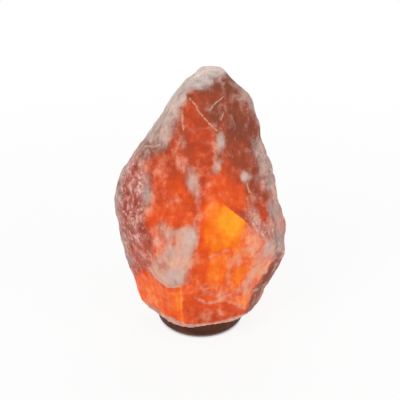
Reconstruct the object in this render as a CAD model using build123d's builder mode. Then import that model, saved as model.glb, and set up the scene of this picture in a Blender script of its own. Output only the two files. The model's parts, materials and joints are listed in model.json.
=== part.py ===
# Salt crystal lamp: a rough lump of rock salt on a turned wooden base, lit from inside
# by a small screw bulb whose holder is pulled out through the base.
#
# Millimetres. The origin is on the table at the middle of the base, +Z is up, and the
# lamp's front faces -Y. The cord leaves through the slot at the back, towards +Y.

import os
from math import cos, radians, sin, sqrt, tan

from build123d import *

# Clearances
slip_gap = 0.05          # between pieces of the fitting that plug together
screw_gap = 0.25         # round a screw that passes through wood or metal
plug_gap = 0.1           # round a wall plug in its drilled hole
spring_gap = 0.2         # between a clip wing and the wall of the base's hole
thread_gap = 0.25        # between the bulb's cap and the socket's shell
touch_gap = 0.02         # between the bulb's contact and the socket's contact

# Rock salt lump
crystal_width = 190
crystal_depth = 156
crystal_height = 272
bulb_bore_radius = 26
bulb_bore_depth = 124
bulb_bore_round = 11     # rounding at the blind end of the bore
edge_wear = 9            # width of the flat worn along each long edge between two breaks
edge_wear_shortest = 36  # an edge shorter than this is left as it broke

# Wooden base
base_radius = 50
base_thickness = 22
base_lower_round = 5
base_top_round = 2
base_hole_radius = 21
recess_radius = 25
recess_depth = 5
cord_slot_width = 9
cord_slot_height = 8

# Rubber feet
foot_radius = 5
foot_height = 2
foot_circle_radius = 37
foot_edge = 0.6
foot_count = 4

# Screws and wall plugs that hold the lump on the base
screw_circle_radius = 38 # about the lamp's axis, one screw on each side
screw_count = 2
screw_radius = 2
screw_head_radius = 4
screw_head_angle = 90
screw_length = 44
screw_point = 4
screw_head_sink = 0.4
cross_length = 4.6
cross_width = 0.9
cross_depth = 1.4
plug_radius = 4
plug_length = 26
plug_slit = 0.8
plug_closed_end = 6      # length of the plug that the slit leaves whole
plug_hole_spare = 3      # how much deeper the drilled hole is than the plug

# Clip bar and its two spring wings
bar_length = 47
bar_width = 14
bar_thickness = 1.2
bar_corner = 2
wing_width = 10
wing_thickness = 0.5
wing_reach = 16.8        # from the lamp's axis to the leaf where it leaves the bar
wing_foot_length = 3
wing_bulge_height = 13   # of the widest place above the bar
wing_tip_height = 25
wing_tip_reach = 17
wing_slot_spare = 0.2    # each side of the leaf in its slot in the bar

# Cord nipple and its nut
nipple_radius = 5
nipple_bore_radius = 3.9
nipple_below_bar = 3.2
nipple_in_dome = 5
nipple_bevel = 0.4
nut_flats = 14
nut_thickness = 2.4

# Lampholder, size E14
holder_radius = 13.5
holder_wall = 1.5
dome_height = 13
dome_floor = 3
dome_round = 2
spigot_height = 6
spigot_radius = 12.2
sleeve_height = 33
sleeve_mouth_radius = 9.2
sleeve_mouth_round = 0.8
grip_count = 24
grip_radius = 0.5
core_radius = 10.6
core_bottom_height = 7   # of the socket's core above the bar
core_collar_radius = 8.9
core_collar_height = 1.6
shell_inner_radius = 7.2
shell_wall = 0.35
shell_height = 21
shell_flange_radius = 8.6
contact_leaf_width = 3
contact_leaf_thickness = 0.5
contact_leaf_rise = 1.8
contact_stem_radius = 1.3
side_contact_radius = 5.5
side_contact_width = 3
terminal_circle_radius = 6.2
terminal_count = 2
terminal_azimuth = 90
terminal_screw_radius = 1.5
terminal_head_radius = 2.8
terminal_head_height = 1.6
terminal_screw_length = 6
driver_slot_width = 0.6
driver_slot_depth = 0.7

# Candle bulb, size E14
cap_wall = 0.3
cap_length = 19
cap_insulator_radius = 4.6
cap_insulator_height = 2.2
cap_contact_radius = 2.4
cap_contact_height = 1.2
glass_wall = 0.8
glass_radius = 17.5
glass_length = 76        # from the cap's mouth to the tip
glass_neck_radius = 6.2
glass_belly_height = 30  # of the widest place above the cap's mouth
glass_tuck = 4           # how far the neck goes down into the cap
cement_height = 3
stem_radius = 2
stem_length = 22
stem_flare_height = 5
lead_radius = 0.25
lead_spread = 3.5
lead_length = 14
filament_radius = 0.3
filament_sag = 5
support_radius = 0.15

cap_radius = shell_inner_radius - thread_gap

# Heights, from the table up
base_bottom = foot_height
base_top = base_bottom + base_thickness
crystal_bottom = base_top
crystal_top = crystal_bottom + crystal_height
bar_top = base_bottom + recess_depth
bar_bottom = bar_top - bar_thickness
core_bottom = bar_top + core_bottom_height
dome_shoulder = bar_top + dome_height
spigot_top = dome_shoulder + spigot_height
core_shoulder = spigot_top
core_top = core_shoulder + core_collar_height
shell_bottom = core_top
contact_top = core_top + contact_leaf_rise
cap_contact_bottom = contact_top + touch_gap
cap_insulator_bottom = cap_contact_bottom + cap_contact_height
cap_bottom = cap_insulator_bottom + cap_insulator_height
cap_top = cap_bottom + cap_length
glass_top = cap_top + glass_length

# Flat breaks that shape the lump. Each has the azimuth it faces, with 0 to the right and
# 270 to the front, then how far out it lies at the sawn foot and how far out its slope
# has come at the height of the top, as shares of the lump's half width and half depth.
facets = {
    "right_foot": (340, 0.70, 1.86),
    "right_foot_back": (22, 0.73, 1.80),
    "right_waist": (350, 1.11, 0.62),
    "right_shoulder": (8, 1.34, 0.44),
    "right_crown": (10, 2.85, 0.21),
    "right_rim": (333, 1.19, 0.49),
    "left_foot": (195, 0.70, 1.48),
    "left_waist": (190, 0.80, 1.20),
    "left_flank": (183, 1.505, 0.42),
    "left_shoulder": (184, 2.06, 0.05),
    "left_cap": (168, 4.60, -0.02),
    "left_cheek": (211, 1.18, 0.55),
    "front_foot": (287, 0.735, 1.34),
    "front_foot_left": (240, 0.77, 1.44),
    "front_window": (282, 0.97, 0.79),
    "front_left_foot": (216, 0.68, 1.20),
    "front_heart": (240, 1.30, 0.28),
    "front_crown": (263, 1.80, 0.08),
    "front_cap": (285, 4.00, 0.03),
    "front_right_foot": (317, 0.72, 1.42),
    "right_brow": (314, 1.44, 0.18),
    "back_foot": (90, 0.77, 1.42),
    "back_flank": (97, 1.28, 0.40),
    "back_crown": (76, 1.90, 0.14),
    "back_cap": (95, 3.00, 0.05),
    "back_left": (137, 1.04, 0.78),
    "back_left_high": (138, 1.58, 0.16),
    "back_left_foot": (143, 0.72, 1.45),
    "back_right": (45, 1.08, 0.72),
    "back_right_high": (46, 1.62, 0.24),
    "back_right_foot": (52, 0.76, 1.50),
}

# Hollow breaks, where a steep wall stands behind a ledge: the wall, then the ledge.
chips = {
    "right_neck": ((6, 0.95, 0.53), (355, 1.58, 0.27)),
    "right_nick": ((4, 0.80, 0.80), (350, 1.13, 0.44)),
    "front_ledge": ((241, 0.92, 0.46), (238, 1.62, -0.46)),
    "back_ledge": ((150, 1.02, 0.50), (155, 1.55, 0.05)),
}


def facet_plane(azimuth, foot_reach, crown_reach):
    half_width, half_depth = crystal_width / 2, crystal_depth / 2
    turn = radians(azimuth)
    outward = Vector(half_width * cos(turn), half_depth * sin(turn), 0)
    along = Vector(-half_width * sin(turn), half_depth * cos(turn), 0)
    foot = outward * foot_reach + Vector(0, 0, crystal_bottom)
    crown = outward * crown_reach + Vector(0, 0, crystal_top)
    return Plane(origin=foot, x_dir=along, z_dir=along.cross(crown - foot))


def worn_flats(faces):
    # The two faces that meet along each long edge, and the plane that cuts that edge off
    meeting = {}
    for face in faces:
        for edge in face.edges():
            middle = edge.center()
            spot = (round(middle.X, 2), round(middle.Y, 2), round(middle.Z, 2))
            meeting.setdefault(spot, []).append((edge, face.normal_at()))
    flats = []
    for (edge, one_side), (_, other_side) in meeting.values():
        if edge.length > edge_wear_shortest and min(one_side.Z, other_side.Z) > -0.9:
            outward = (one_side + other_side).normalized()
            depth = edge_wear / 2 * tan(radians(one_side.get_angle(other_side) / 2))
            flats.append(Plane(origin=edge.center() - outward * depth, z_dir=outward))
    return flats


# ---- Rock salt lump ----

chip_solids = []
for wall, ledge in chips.values():
    with BuildPart(Plane.XY.offset(crystal_bottom)) as chip:
        Box(
            2 * crystal_width,
            2 * crystal_depth,
            crystal_height,
            align=(Align.CENTER, Align.CENTER, Align.MIN),
        )
        split(bisect_by=facet_plane(*wall), keep=Keep.TOP)
        split(bisect_by=facet_plane(*ledge), keep=Keep.TOP)
    chip_solids.append(chip.part)

with BuildPart(Plane.XY.offset(crystal_bottom)) as salt_crystal:
    Box(
        2 * crystal_width,
        2 * crystal_depth,
        crystal_height,
        align=(Align.CENTER, Align.CENTER, Align.MIN),
    )
    for facet in facets.values():
        split(bisect_by=facet_plane(*facet), keep=Keep.BOTTOM)
    for worn_flat in worn_flats(salt_crystal.faces()):
        split(bisect_by=worn_flat, keep=Keep.BOTTOM)
    add(chip_solids, mode=Mode.SUBTRACT)
    with BuildSketch(Plane.XZ):
        with BuildLine():
            bore_wall = Polyline(
                (0, crystal_bottom),
                (bulb_bore_radius, crystal_bottom),
                (bulb_bore_radius, crystal_bottom + bulb_bore_depth - bulb_bore_round),
            )
            bore_round = RadiusArc(
                bore_wall @ 1,
                (bulb_bore_radius - bulb_bore_round, crystal_bottom + bulb_bore_depth),
                -bulb_bore_round,
            )
            Polyline(bore_round @ 1, (0, crystal_bottom + bulb_bore_depth), (0, crystal_bottom))
        make_face()
    revolve(axis=Axis.Z, mode=Mode.SUBTRACT)
    with PolarLocations(screw_circle_radius, screw_count):
        Cylinder(
            plug_radius + plug_gap,
            plug_length + plug_hole_spare,
            align=(Align.CENTER, Align.CENTER, Align.MIN),
            mode=Mode.SUBTRACT,
        )
salt_crystal.part.label = "salt_crystal"

# ---- Wooden base ----

with BuildPart(Plane.XY.offset(base_bottom)) as wooden_base:
    Cylinder(
        base_radius, base_thickness, align=(Align.CENTER, Align.CENTER, Align.MIN)
    )
    rims = wooden_base.edges().filter_by(GeomType.CIRCLE).sort_by(Axis.Z)
    fillet(rims[0], base_lower_round)
    rims = wooden_base.edges().filter_by(GeomType.CIRCLE).sort_by(Axis.Z)
    fillet(rims[-1], base_top_round)
    with BuildSketch(Plane.XY.offset(base_bottom)):
        Circle(base_hole_radius)
    extrude(amount=base_thickness, mode=Mode.SUBTRACT)
    with BuildSketch(Plane.XY.offset(base_bottom)):
        Circle(recess_radius)
    extrude(amount=recess_depth, mode=Mode.SUBTRACT)
    with BuildSketch(Plane.XY.offset(base_bottom)):
        Rectangle(cord_slot_width, base_radius, align=(Align.CENTER, Align.MIN))
    extrude(amount=cord_slot_height, mode=Mode.SUBTRACT)
    with Locations(Plane.XY.offset(base_bottom).rotated((180, 0, 0))):
        with PolarLocations(screw_circle_radius, screw_count):
            CounterSinkHole(
                screw_radius + screw_gap,
                screw_head_radius + screw_gap,
                base_thickness,
                screw_head_angle,
            )
wooden_base.part.label = "wooden_base"

# ---- Rubber feet ----

with BuildPart() as rubber_feet:
    with PolarLocations(foot_circle_radius, foot_count, 180 / foot_count):
        Cylinder(foot_radius, foot_height, align=(Align.CENTER, Align.CENTER, Align.MIN))
    chamfer(rubber_feet.edges().group_by(Axis.Z)[0], foot_edge)
rubber_feet.part.label = "rubber_feet"

# ---- Screws and wall plugs between base and lump ----

screw_head_height = (screw_head_radius - screw_radius) / tan(radians(screw_head_angle / 2))
screw_bottom = base_bottom + screw_head_sink

with BuildPart() as base_screw:
    with BuildSketch(Plane.XZ):
        with BuildLine():
            Polyline(
                (0, screw_bottom),
                (screw_head_radius, screw_bottom),
                (screw_radius, screw_bottom + screw_head_height),
                (screw_radius, screw_bottom + screw_length - screw_point),
                (0, screw_bottom + screw_length),
                close=True,
            )
        make_face()
    revolve(axis=Axis.Z)
    with BuildSketch(Plane.XY.offset(screw_bottom)):
        Rectangle(cross_length, cross_width)
        Rectangle(cross_width, cross_length)
    extrude(amount=cross_depth, mode=Mode.SUBTRACT)

with BuildPart() as base_screws:
    with PolarLocations(screw_circle_radius, screw_count):
        add(base_screw.part)
base_screws.part.label = "base_screws"

with BuildPart(Plane.XY.offset(crystal_bottom)) as wall_plug:
    Cylinder(plug_radius, plug_length, align=(Align.CENTER, Align.CENTER, Align.MIN))
    Cylinder(
        screw_radius + slip_gap,
        plug_length,
        align=(Align.CENTER, Align.CENTER, Align.MIN),
        mode=Mode.SUBTRACT,
    )
    with BuildSketch(Plane.XY.offset(crystal_bottom + plug_closed_end)):
        Rectangle(plug_slit, 2 * plug_radius)
    extrude(amount=plug_length, mode=Mode.SUBTRACT)

with BuildPart() as wall_plugs:
    with PolarLocations(screw_circle_radius, screw_count):
        add(wall_plug.part)
wall_plugs.part.label = "wall_plugs"

# ---- Clip bar and wings ----

wing_slot_width = wing_thickness + 2 * wing_slot_spare
wing_slot_length = wing_width + 2 * wing_slot_spare

with BuildPart() as clip_bar:
    with BuildSketch(Plane.XY.offset(bar_bottom)):
        RectangleRounded(bar_length, bar_width, bar_corner)
        Circle(nipple_radius + slip_gap, mode=Mode.SUBTRACT)
        with Locations((-wing_reach, 0), (wing_reach, 0)):
            Rectangle(wing_slot_width, wing_slot_length, mode=Mode.SUBTRACT)
    extrude(amount=bar_thickness)
clip_bar.part.label = "clip_bar"

# The leaf is flat across its width, so its corners come nearest to the round hole.
wing_bulge_reach = sqrt((base_hole_radius - spring_gap) ** 2 - (wing_width / 2) ** 2)
wing_bulge_reach -= wing_thickness / 2
wing_foot_middle = bar_bottom - wing_thickness / 2 - slip_gap

with BuildPart() as clip_wing_right:
    with BuildSketch(Plane.XZ) as leaf_side:
        with BuildLine():
            leaf_foot = Polyline(
                (wing_reach - wing_foot_length, wing_foot_middle),
                (wing_reach, wing_foot_middle),
                (wing_reach, bar_top + wing_thickness),
            )
            leaf_bulge = ThreePointArc(
                leaf_foot @ 1,
                (wing_bulge_reach, bar_top + wing_bulge_height),
                (wing_tip_reach, bar_top + wing_tip_height),
            )
            offset(amount=wing_thickness / 2, side=Side.BOTH)
        make_face()
    extrude(amount=wing_width / 2, both=True)
clip_wing_right.part.label = "clip_wing_right"

with BuildPart() as clip_wing_left:
    add(mirror(clip_wing_right.part, about=Plane.YZ, mode=Mode.PRIVATE))
clip_wing_left.part.label = "clip_wing_left"

# ---- Cord nipple and nut ----

nipple_bottom = bar_bottom - nipple_below_bar
nipple_top = bar_top + nipple_in_dome

with BuildPart(Plane.XY.offset(nipple_bottom)) as cord_nipple:
    Cylinder(
        nipple_radius, nipple_top - nipple_bottom, align=(Align.CENTER, Align.CENTER, Align.MIN)
    )
    chamfer(cord_nipple.edges().filter_by(GeomType.CIRCLE), nipple_bevel)
    Cylinder(
        nipple_bore_radius,
        nipple_top - nipple_bottom,
        align=(Align.CENTER, Align.CENTER, Align.MIN),
        mode=Mode.SUBTRACT,
    )
cord_nipple.part.label = "cord_nipple"

with BuildPart() as nipple_nut:
    with BuildSketch(Plane.XY.offset(bar_bottom)):
        RegularPolygon(nut_flats / 2, 6, major_radius=False)
        Circle(nipple_radius + slip_gap, mode=Mode.SUBTRACT)
    extrude(amount=-nut_thickness)
nipple_nut.part.label = "nipple_nut"

# ---- Lampholder ----

dome_bore_radius = core_radius + slip_gap

with BuildPart() as holder_dome:
    with BuildSketch(Plane.XZ):
        with BuildLine():
            dome_side = Polyline(
                (nipple_radius + slip_gap, bar_top),
                (holder_radius - dome_round, bar_top),
            )
            dome_edge = RadiusArc(
                dome_side @ 1, (holder_radius, bar_top + dome_round), -dome_round
            )
            Polyline(
                dome_edge @ 1,
                (holder_radius, dome_shoulder),
                (spigot_radius, dome_shoulder),
                (spigot_radius, spigot_top),
                (dome_bore_radius, spigot_top),
                (dome_bore_radius, core_bottom),
                (dome_bore_radius - holder_wall, core_bottom),
                (dome_bore_radius - holder_wall, bar_top + dome_floor),
                (nipple_radius + slip_gap, bar_top + dome_floor),
                dome_side @ 0,
            )
        make_face()
    revolve(axis=Axis.Z)
holder_dome.part.label = "holder_dome"

with BuildPart(Plane.XY.offset(dome_shoulder)) as holder_sleeve:
    Cylinder(holder_radius, sleeve_height, align=(Align.CENTER, Align.CENTER, Align.MIN))
    fillet(holder_sleeve.edges().group_by(Axis.Z)[-1], sleeve_mouth_round)
    Cylinder(
        sleeve_mouth_radius,
        sleeve_height,
        align=(Align.CENTER, Align.CENTER, Align.MIN),
        mode=Mode.SUBTRACT,
    )
    Cylinder(
        spigot_radius + slip_gap,
        spigot_height,
        align=(Align.CENTER, Align.CENTER, Align.MIN),
        mode=Mode.SUBTRACT,
    )
    with BuildSketch(Plane.XY.offset(dome_shoulder)):
        with PolarLocations(holder_radius, grip_count):
            Circle(grip_radius)
    extrude(amount=sleeve_height / 2, mode=Mode.SUBTRACT)
holder_sleeve.part.label = "holder_sleeve"

with BuildPart(Plane.XY.offset(core_bottom)) as socket_core:
    Cylinder(
        core_radius, core_shoulder - core_bottom, align=(Align.CENTER, Align.CENTER, Align.MIN)
    )
    Cylinder(
        core_collar_radius, core_top - core_bottom, align=(Align.CENTER, Align.CENTER, Align.MIN)
    )
    Cylinder(
        contact_stem_radius + slip_gap,
        core_top - core_bottom,
        align=(Align.CENTER, Align.CENTER, Align.MIN),
        mode=Mode.SUBTRACT,
    )
    with PolarLocations(terminal_circle_radius, terminal_count, terminal_azimuth):
        Cylinder(
            terminal_screw_radius + slip_gap,
            terminal_screw_length,
            align=(Align.CENTER, Align.CENTER, Align.MIN),
            mode=Mode.SUBTRACT,
        )
    with BuildSketch(Plane.XY.offset(core_bottom)):
        with Locations((side_contact_radius, 0)):
            Rectangle(
                contact_leaf_thickness + 2 * slip_gap, side_contact_width + 2 * slip_gap
            )
    extrude(amount=core_top - core_bottom, mode=Mode.SUBTRACT)
socket_core.part.label = "socket_core"

with BuildPart(Plane.XY.offset(shell_bottom)) as socket_shell:
    Cylinder(
        shell_inner_radius + shell_wall,
        shell_height,
        align=(Align.CENTER, Align.CENTER, Align.MIN),
    )
    Cylinder(
        shell_flange_radius, shell_wall, align=(Align.CENTER, Align.CENTER, Align.MIN)
    )
    Cylinder(
        shell_inner_radius,
        shell_height,
        align=(Align.CENTER, Align.CENTER, Align.MIN),
        mode=Mode.SUBTRACT,
    )
socket_shell.part.label = "socket_shell"

with BuildPart(Plane.XY.offset(core_top)) as centre_contact:
    with Locations((0, 0, -(core_top - core_bottom))):
        Cylinder(
            contact_stem_radius,
            core_top - core_bottom,
            align=(Align.CENTER, Align.CENTER, Align.MIN),
        )
    with BuildSketch(Plane.XZ):
        with BuildLine():
            Polyline(
                (-contact_stem_radius, core_top),
                (-contact_stem_radius, core_top + contact_leaf_thickness),
                (contact_stem_radius, core_top + contact_leaf_thickness),
                (2 * contact_stem_radius, contact_top - contact_leaf_thickness),
                (-contact_stem_radius, contact_top - contact_leaf_thickness),
                (-contact_stem_radius, contact_top),
                (3 * contact_stem_radius, contact_top),
                (2 * contact_stem_radius, core_top),
                close=True,
            )
        make_face()
    extrude(amount=contact_leaf_width / 2, both=True)
centre_contact.part.label = "centre_contact"

# The tab's corners reach the round shell first.
side_contact_reach = sqrt(shell_inner_radius**2 - (side_contact_width / 2) ** 2) - slip_gap
side_contact_inner = side_contact_radius - contact_leaf_thickness / 2

with BuildPart() as side_contact:
    with BuildSketch(Plane.XY.offset(core_bottom - terminal_head_height)):
        with Locations((side_contact_radius, 0)):
            Rectangle(contact_leaf_thickness, side_contact_width)
    extrude(amount=core_top - core_bottom + terminal_head_height)
    with BuildSketch(Plane.XY.offset(core_top)):
        with Locations((side_contact_inner, 0)):
            Rectangle(
                side_contact_reach - side_contact_inner,
                side_contact_width,
                align=(Align.MIN, Align.CENTER),
            )
    extrude(amount=contact_leaf_thickness)
side_contact.part.label = "side_contact"

with BuildPart() as terminal_screws:
    with BuildSketch(Plane.XY.offset(core_bottom)):
        with PolarLocations(terminal_circle_radius, terminal_count, terminal_azimuth):
            Circle(terminal_screw_radius)
    extrude(amount=terminal_screw_length)
    with BuildSketch(Plane.XY.offset(core_bottom)):
        with PolarLocations(terminal_circle_radius, terminal_count, terminal_azimuth):
            Circle(terminal_head_radius)
    extrude(amount=-terminal_head_height)
    with BuildSketch(Plane.XY.offset(core_bottom - terminal_head_height)):
        with PolarLocations(terminal_circle_radius, terminal_count, terminal_azimuth):
            Rectangle(2 * terminal_head_radius, driver_slot_width)
    extrude(amount=driver_slot_depth, mode=Mode.SUBTRACT)
terminal_screws.part.label = "terminal_screws"

# ---- Candle bulb ----

with BuildPart(Plane.XY.offset(cap_contact_bottom)) as cap_contact:
    Cylinder(
        cap_contact_radius, cap_contact_height, align=(Align.CENTER, Align.CENTER, Align.MIN)
    )
    fillet(cap_contact.edges().group_by(Axis.Z)[0], cap_contact_height / 2)
cap_contact.part.label = "cap_contact"

with BuildPart() as cap_insulator:
    with BuildSketch(Plane.XZ):
        with BuildLine():
            Polyline(
                (0, cap_insulator_bottom),
                (cap_contact_radius, cap_insulator_bottom),
                (cap_insulator_radius, cap_bottom),
                (0, cap_bottom),
                close=True,
            )
        make_face()
    revolve(axis=Axis.Z)
cap_insulator.part.label = "cap_insulator"

with BuildPart(Plane.XY.offset(cap_bottom)) as bulb_cap:
    Cylinder(cap_radius, cap_length, align=(Align.CENTER, Align.CENTER, Align.MIN))
    chamfer(bulb_cap.edges().group_by(Axis.Z)[0], cap_radius - cap_insulator_radius)
    offset(amount=-cap_wall, openings=bulb_cap.faces().sort_by(Axis.Z)[-1])
bulb_cap.part.label = "bulb_cap"

with BuildPart(Plane.XY.offset(cap_top - cement_height)) as cap_cement:
    Cylinder(
        cap_radius - cap_wall - slip_gap,
        cement_height,
        align=(Align.CENTER, Align.CENTER, Align.MIN),
    )
    Cylinder(
        glass_neck_radius + slip_gap,
        cement_height,
        align=(Align.CENTER, Align.CENTER, Align.MIN),
        mode=Mode.SUBTRACT,
    )
cap_cement.part.label = "cap_cement"


def bulb_side(inset):
    # Half outline of the glass, from the neck's open end to the tip, drawn in by inset.
    neck = (glass_neck_radius - inset, cap_top - glass_tuck)
    collar = (glass_neck_radius - inset, cap_top)
    belly = (glass_radius - inset, cap_top + glass_belly_height)
    tip = (0, glass_top - inset)
    throat = Line(neck, collar)
    flank = Spline(collar, belly, tangents=((0, 1), (0, 1)), tangent_scalars=(1.2, 1.2))
    crown = Spline(belly, tip, tangents=((0, 1), (-1, 0)), tangent_scalars=(1.5, 0.25))
    return throat, flank, crown


with BuildPart() as bulb_envelope:
    with BuildSketch(Plane.XZ):
        with BuildLine():
            outside = bulb_side(0)
            inside = bulb_side(glass_wall)
            Line(outside[0] @ 0, inside[0] @ 0)
            Line(outside[2] @ 1, inside[2] @ 1)
        make_face()
    revolve(axis=Axis.Z)
bulb_envelope.part.label = "bulb_envelope"

stem_bottom = cap_top - glass_tuck
stem_top = stem_bottom + stem_length

with BuildPart() as glass_stem:
    with BuildSketch(Plane.XZ):
        with BuildLine():
            Polyline(
                (0, stem_bottom),
                (glass_neck_radius - glass_wall - slip_gap, stem_bottom),
                (stem_radius, stem_bottom + stem_flare_height),
                (stem_radius, stem_top),
                (0, stem_top),
                close=True,
            )
        make_face()
    revolve(axis=Axis.Z)
glass_stem.part.label = "glass_stem"

lead_top = stem_top + lead_length

with BuildPart() as lead_wires:
    for side in (-1, 1):
        lead_foot = Vector(side * stem_radius / 2, 0, stem_top)
        lead_head = Vector(side * lead_spread, 0, lead_top)
        with BuildSketch(Plane(origin=lead_foot, z_dir=lead_head - lead_foot)):
            Circle(lead_radius)
        extrude(amount=(lead_head - lead_foot).length)
lead_wires.part.label = "lead_wires"

with BuildPart() as filament:
    with BuildLine() as filament_path:
        ThreePointArc(
            (-lead_spread, 0, lead_top + filament_radius),
            (0, 0, lead_top + filament_sag),
            (lead_spread, 0, lead_top + filament_radius),
        )
    with BuildSketch(Plane(origin=filament_path.line @ 0, z_dir=filament_path.line % 0)):
        Circle(filament_radius)
    sweep()
filament.part.label = "filament"

support_top = lead_top + filament_sag - filament_radius

with BuildPart(Plane.XY.offset(stem_top)) as filament_support:
    Cylinder(
        support_radius, support_top - stem_top, align=(Align.CENTER, Align.CENTER, Align.MIN)
    )
filament_support.part.label = "filament_support"

# ---- Files ----

pieces = [
    salt_crystal,
    wooden_base,
    rubber_feet,
    base_screws,
    wall_plugs,
    clip_bar,
    clip_wing_right,
    clip_wing_left,
    cord_nipple,
    nipple_nut,
    holder_dome,
    holder_sleeve,
    socket_core,
    socket_shell,
    centre_contact,
    side_contact,
    terminal_screws,
    cap_contact,
    cap_insulator,
    bulb_cap,
    cap_cement,
    bulb_envelope,
    glass_stem,
    lead_wires,
    filament,
    filament_support,
]

os.makedirs("parts", exist_ok=True)
for piece in pieces:
    export_step(piece.part, f"parts/{piece.part.label}.step")
    print(piece.part.label, round(piece.part.volume), piece.part.is_valid)
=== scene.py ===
import json
import math
import random

import bmesh
import bpy
import numpy as np
from mathutils import Matrix, Vector, noise
from mathutils.bvhtree import BVHTree


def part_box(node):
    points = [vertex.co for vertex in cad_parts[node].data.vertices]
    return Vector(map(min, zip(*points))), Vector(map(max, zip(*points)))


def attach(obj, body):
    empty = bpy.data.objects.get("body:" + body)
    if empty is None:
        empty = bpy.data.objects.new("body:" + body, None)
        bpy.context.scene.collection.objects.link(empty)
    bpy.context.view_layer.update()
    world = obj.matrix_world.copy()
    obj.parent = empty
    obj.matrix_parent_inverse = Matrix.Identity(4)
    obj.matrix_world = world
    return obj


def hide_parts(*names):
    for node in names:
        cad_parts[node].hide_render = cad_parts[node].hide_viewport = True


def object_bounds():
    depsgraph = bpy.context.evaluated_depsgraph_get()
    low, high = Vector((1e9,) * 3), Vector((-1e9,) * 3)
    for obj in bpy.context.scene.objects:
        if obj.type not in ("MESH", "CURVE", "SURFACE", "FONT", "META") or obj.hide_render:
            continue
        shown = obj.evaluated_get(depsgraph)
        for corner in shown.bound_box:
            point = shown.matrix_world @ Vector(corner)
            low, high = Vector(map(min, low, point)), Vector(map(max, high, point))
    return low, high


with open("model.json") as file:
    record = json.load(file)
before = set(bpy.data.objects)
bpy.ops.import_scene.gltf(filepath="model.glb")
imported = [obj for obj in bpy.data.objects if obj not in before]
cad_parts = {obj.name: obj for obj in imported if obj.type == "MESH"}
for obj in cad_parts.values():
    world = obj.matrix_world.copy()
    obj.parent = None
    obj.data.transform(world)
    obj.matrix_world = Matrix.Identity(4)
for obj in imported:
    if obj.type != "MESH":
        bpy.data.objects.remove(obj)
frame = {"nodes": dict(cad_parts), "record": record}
cadLow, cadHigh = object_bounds()
nodes = frame["nodes"]
print("frame loaded")

# ways of making materials and placing objects


def screen(red, green, blue):
    # a colour as the screen shows it, 0 to 255, as the linear colour that a socket takes
    shares = [channel / 255 for channel in (red, green, blue)]
    return (*[s / 12.92 if s <= 0.04045 else ((s + 0.055) / 1.055) ** 2.4 for s in shares], 1.0)


class Wire:
    # one output of a node; Python's operators on it add Math nodes
    def __init__(self, finish, socket):
        self.finish = finish
        self.socket = socket

    def maths(self, operation, *values):
        return self.finish.node("ShaderNodeMath", {"operation": operation}, values)

    def __add__(self, other):
        return self.maths("ADD", self, other)

    def __radd__(self, other):
        return self.maths("ADD", other, self)

    def __sub__(self, other):
        return self.maths("SUBTRACT", self, other)

    def __rsub__(self, other):
        return self.maths("SUBTRACT", other, self)

    def __mul__(self, other):
        return self.maths("MULTIPLY", self, other)

    def __rmul__(self, other):
        return self.maths("MULTIPLY", other, self)

    def orElse(self, other):
        # the larger of two masks
        return self.maths("MAXIMUM", self, other)

    def above(self, low, high):
        # 0 below low, 1 over high and a soft step between; the other way round if low is the larger
        if low > high:
            return 1 - self.above(high, low)
        steps = {"interpolation_type": "SMOOTHSTEP"}
        return self.finish.node("ShaderNodeMapRange", steps, {0: self, 1: low, 2: high})


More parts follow.
